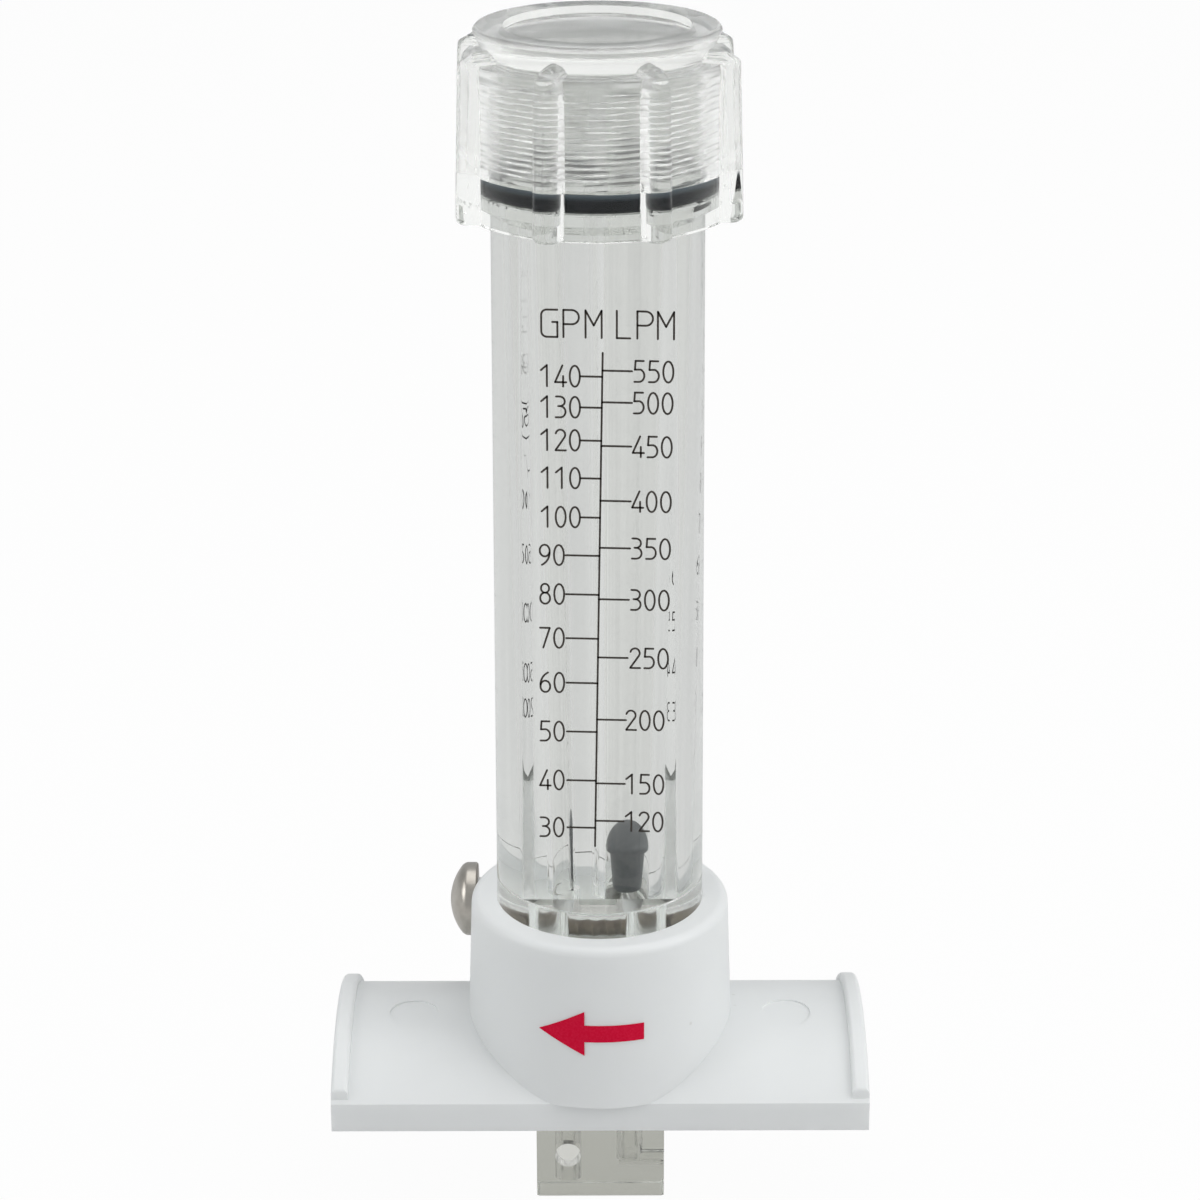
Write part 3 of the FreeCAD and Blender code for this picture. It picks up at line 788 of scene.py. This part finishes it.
class Print:
    """Thin ink strokes on the flat face, gathered into one mesh."""

    def __init__(self):
        self.points = []
        self.faces = []

    def loops(self, outline_a, outline_b, closed):
        """A strip between two outlines, as a flat solid of the ink's thickness."""
        count = len(outline_a)
        start = len(self.points)
        for y in (FLAT_Y - PRINT_T, FLAT_Y):
            self.points += [(x, y, z) for x, z in outline_a]
            self.points += [(x, y, z) for x, z in outline_b]
        back = 2 * count
        for i in range(count if closed else count - 1):
            j = (i + 1) % count
            a, b, c, d = start + i, start + j, start + count + j, start + count + i
            self.faces += [(a, b, c, d), (a + back, d + back, c + back, b + back),
                           (a, a + back, b + back, b), (d, c, c + back, d + back)]
        if not closed:
            for a, d in ((start, start + count), (start + count - 1, start + 2 * count - 1)):
                self.faces.append((a, d, d + back, a + back))

    def stroke(self, path):
        """A line of the pen's width along a path, with round ends unless it is closed."""
        closed = math.dist(path[0], path[-1]) < 1e-4
        points = [Vector(p) for p in (path[:-1] if closed else path)]
        count = len(points)
        lefts = []
        rights = []
        for i, point in enumerate(points):
            before = points[(i - 1) % count] if closed or i else point
            after = points[(i + 1) % count] if closed or i < count - 1 else point
            along = ((point - before).normalized() + (after - point).normalized()).normalized()
            side = Vector((-along.y, along.x)) * (LINE_W / 2)
            lefts.append(point + side)
            rights.append(point - side)
        if not closed:
            for end, other, at_start in ((0, 1, True), (-1, -2, False)):
                out = (points[end] - points[other]).normalized()
                across = Vector((-out.y, out.x))
                for turn in (25, 50, 72):
                    tip = points[end] + out * (LINE_W / 2 * math.sin(math.radians(turn)))
                    half = across * (LINE_W / 2 * math.cos(math.radians(turn)))
                    if at_start:
                        lefts.insert(0, tip - half)
                        rights.insert(0, tip + half)
                    else:
                        lefts.append(tip + half)
                        rights.append(tip - half)
        self.loops(lefts, rights, closed)

    def word(self, text, x, z, height, step):
        for index, figure in enumerate(text):
            for path in FIGURES[figure]:
                left = x + index * step
                self.stroke([(left + px * height,
                              BOSS_TOP_Z + z + py * height + SLOPE * (left + px * height - x))
                             for px, py in path])


def line_x(z):
    """Where the long line stands at a height above the boss."""
    share = (z - LINE_LOW[1]) / (LINE_HIGH[1] - LINE_LOW[1])
    return LINE_LOW[0] + (LINE_HIGH[0] - LINE_LOW[0]) * share


def make_scale():
    print_work = Print()
    print_work.stroke([(x, BOSS_TOP_Z + z) for x, z in (LINE_LOW, LINE_HIGH)])
    for text, z, tip_x, left in GALLONS + LITRES:
        root_x = line_x(z)
        level = BOSS_TOP_Z + z
        print_work.stroke([(root_x, level), (tip_x, level + SLOPE * (tip_x - root_x))])
        middle = z + SLOPE * (left - root_x)
        print_work.word(text, left, middle - DIGIT_H / 2, DIGIT_H, DIGIT_STEP)
    for text, left, z, step in HEADINGS:
        print_work.word(text, left, z, LETTER_H, step)
    scale = new_object("flow_scale", print_work.points, print_work.faces, dark_ink)
    tidy_normals(scale, 20.0)
    fit(scale, "meter", "scale_print")


# ---------------------------------------------------------------- float

FLOAT_X = 5.02
FLOAT_HEAD_R = 6.08
FLOAT_RIM_H = 1.0
FLOAT_DOME_H = 1.98
FLOAT_FOOT_Z = 31.3
FLOAT_UNDER_Z = 39.7


def make_float():
    """A tapered stem under a domed head. Its rings are given as radius and height."""
    rim_z = FLOAT_UNDER_Z + FLOAT_RIM_H
    profile = [(3.5, FLOAT_FOOT_Z), (4.0, FLOAT_FOOT_Z + 0.15), (4.22, FLOAT_FOOT_Z + 0.6),
               (5.05, FLOAT_UNDER_Z - 0.25), (5.2, FLOAT_UNDER_Z - 0.05),
               (FLOAT_HEAD_R - 0.6, FLOAT_UNDER_Z), (FLOAT_HEAD_R - 0.2, FLOAT_UNDER_Z + 0.15),
               (FLOAT_HEAD_R, FLOAT_UNDER_Z + 0.5)]
    for lean in range(0, 90, 6):
        profile.append((FLOAT_HEAD_R * math.cos(math.radians(lean)),
                        rim_z + FLOAT_DOME_H * math.sin(math.radians(lean))))
    rings = [circle(radius, z, 96, FLOAT_X) for radius, z in profile]
    rings.append([(FLOAT_X, 0, rim_z + FLOAT_DOME_H)])
    fit(ringed("float_plug", rings, grey), "float", "float")


# ---------------------------------------------------------------- retaining screw

SCREW_END_X = 17.5
SCREW_R = 2.5
SCREW_PITCH = 1.1
SCREW_THREAD_DEPTH = 0.45
SCREW_SIDES = 64
HEAD_R = 6.9
HEAD_RIM = 2.5
HEAD_DOME = 2.7


def round_screw(i, radius, x):
    """The i-th point of a ring round the screw's line."""
    angle = 2 * math.pi * i / SCREW_SIDES
    return (x, SCREW_Y + radius * math.cos(angle), SCREW_Z + radius * math.sin(angle))


def screw_ring(radius, x):
    return [round_screw(i, radius, x) for i in range(SCREW_SIDES)]


def screw_thread_ring(x, depth):
    ring = []
    for i in range(SCREW_SIDES):
        phase = (x / SCREW_PITCH - i / SCREW_SIDES) % 1.0
        ring.append(round_screw(i, SCREW_R - depth * (1 - abs(2 * phase - 1)) ** 0.8, x))
    return ring


def screw_rings():
    tip_x = SCREW_SEAT_X - HEAD_RIM - HEAD_DOME + 0.02
    bend_r = (HEAD_R ** 2 + HEAD_DOME ** 2) / (2 * HEAD_DOME)
    rings = [[(tip_x, SCREW_Y, SCREW_Z)]]
    for i in range(1, 13):
        radius = (HEAD_R - 0.5) * i / 12
        rings.append(screw_ring(radius, tip_x + bend_r - math.sqrt(bend_r ** 2 - radius ** 2)))
    rim_x = SCREW_SEAT_X - HEAD_RIM
    rings += [screw_ring(HEAD_R - 0.2, rim_x), screw_ring(HEAD_R - 0.04, rim_x + 0.35),
              screw_ring(HEAD_R, rim_x + 0.7), screw_ring(HEAD_R, SCREW_SEAT_X - 0.3),
              screw_ring(HEAD_R - 0.3, SCREW_SEAT_X), screw_ring(SCREW_R, SCREW_SEAT_X)]
    first = SCREW_SEAT_X + 1.5
    last = SCREW_END_X - 0.8
    steps = int((last - first) / 0.14)
    for k in range(steps + 1):
        x = first + (last - first) * k / steps
        rings.append(screw_thread_ring(x, SCREW_THREAD_DEPTH * smooth_step(x, first, first + 1.0)))
    rings += [screw_ring(1.5, SCREW_END_X), [(SCREW_END_X, SCREW_Y, SCREW_Z)]]
    return rings


def make_screw():
    screw = ringed("pan_head_screw", screw_rings(), steel)
    fit(screw, "meter", "retaining_screw")


make_body()
make_cap()
make_scale()
make_float()
make_screw()

# ---------------------------------------------------------------- floor, light, camera

FLOOR_REACH = 6000.0
FLOOR_GAP = 0.5
FLOOR_WHITE = 0.96
SKY_STRENGTH = 0.45

# In metres: the lamps' places, then the side of each square lamp and its power in watts
LAMPS_AIM = (0.0, 0.0, 0.07)
LAMPS = [
    ("right_softbox", (0.95, -0.35, 0.65), 0.9, 6.4),
    ("left_softbox", (-0.95, -0.30, 0.55), 0.7, 3.0),
    ("top_softbox", (0.05, 0.15, 1.2), 1.0, 4.1),
]
CAMERA_PLACE = (0.0002, -0.546, 0.29855)
CAMERA_DOWN_DEG = 21.26
CAMERA_ROLL_DEG = -0.15


def make_floor():
    reach = FLOOR_REACH
    z = PROBE_TIP_Z - FLOOR_GAP
    corners = [(-reach, -reach, z), (reach, -reach, z), (reach, reach, z), (-reach, reach, z)]
    finish = new_finish("pale_floor")
    matt = finish.set(Base_Color=(0.74, 0.74, 0.74, 1.0), Roughness=0.9)
    glow = finish.node("Emission", {}, {"Color": WHITE, "Strength": 1.0})
    finish.end(finish.blended_shader(FLOOR_WHITE * finish.white_view(), matt, glow))
    new_object("pale_floor", corners, [(0, 1, 2, 3)], finish.owner)


def softbox(name, place, side, power):
    lamp = bpy.data.lights.new(name, "AREA")
    lamp.shape = "RECTANGLE"
    lamp.size = side
    lamp.size_y = side
    lamp.energy = power
    made = bpy.data.objects.new(name, lamp)
    parts_shelf.objects.link(made)
    # What is seen through the clear plastic is the white studio, not the lamps
    made.visible_transmission = False
    made.location = place
    aim = Vector(LAMPS_AIM) - Vector(place)
    made.rotation_euler = aim.to_track_quat("-Z", "Y").to_euler()


def make_sky():
    sky = bpy.data.worlds.new("studio")
    bpy.context.scene.world = sky
    finish = Finish(sky, "Background", "World Output")
    dim = finish.set(Color=(0.97, 0.99, 1.0, 1.0), Strength=SKY_STRENGTH)
    full = finish.node("Background", {}, {"Color": WHITE})
    finish.end(finish.blended_shader(finish.white_view(), dim, full))


make_floor()
make_sky()
for lamp_name, lamp_place, lamp_side, lamp_power in LAMPS:
    softbox(lamp_name, lamp_place, lamp_side, lamp_power)

lens = bpy.data.cameras.new("camera")
lens.lens = 99.0
lens.sensor_width = 36.0
camera = bpy.data.objects.new("camera", lens)
parts_shelf.objects.link(camera)
camera.location = CAMERA_PLACE
lean = Matrix.Rotation(math.radians(90 - CAMERA_DOWN_DEG), 3, "X")
roll = Matrix.Rotation(math.radians(CAMERA_ROLL_DEG), 3, "Z")
camera.rotation_euler = (lean @ roll).to_euler()
bpy.context.scene.camera = camera
bpy.context.scene.view_settings.view_transform = "Standard"
light_paths = bpy.context.scene.cycles
light_paths.max_bounces = DEEPEST
light_paths.glossy_bounces = DEEPEST
light_paths.transmission_bounces = DEEPEST
light_paths.diffuse_bounces = 8
light_paths.transparent_max_bounces = 24
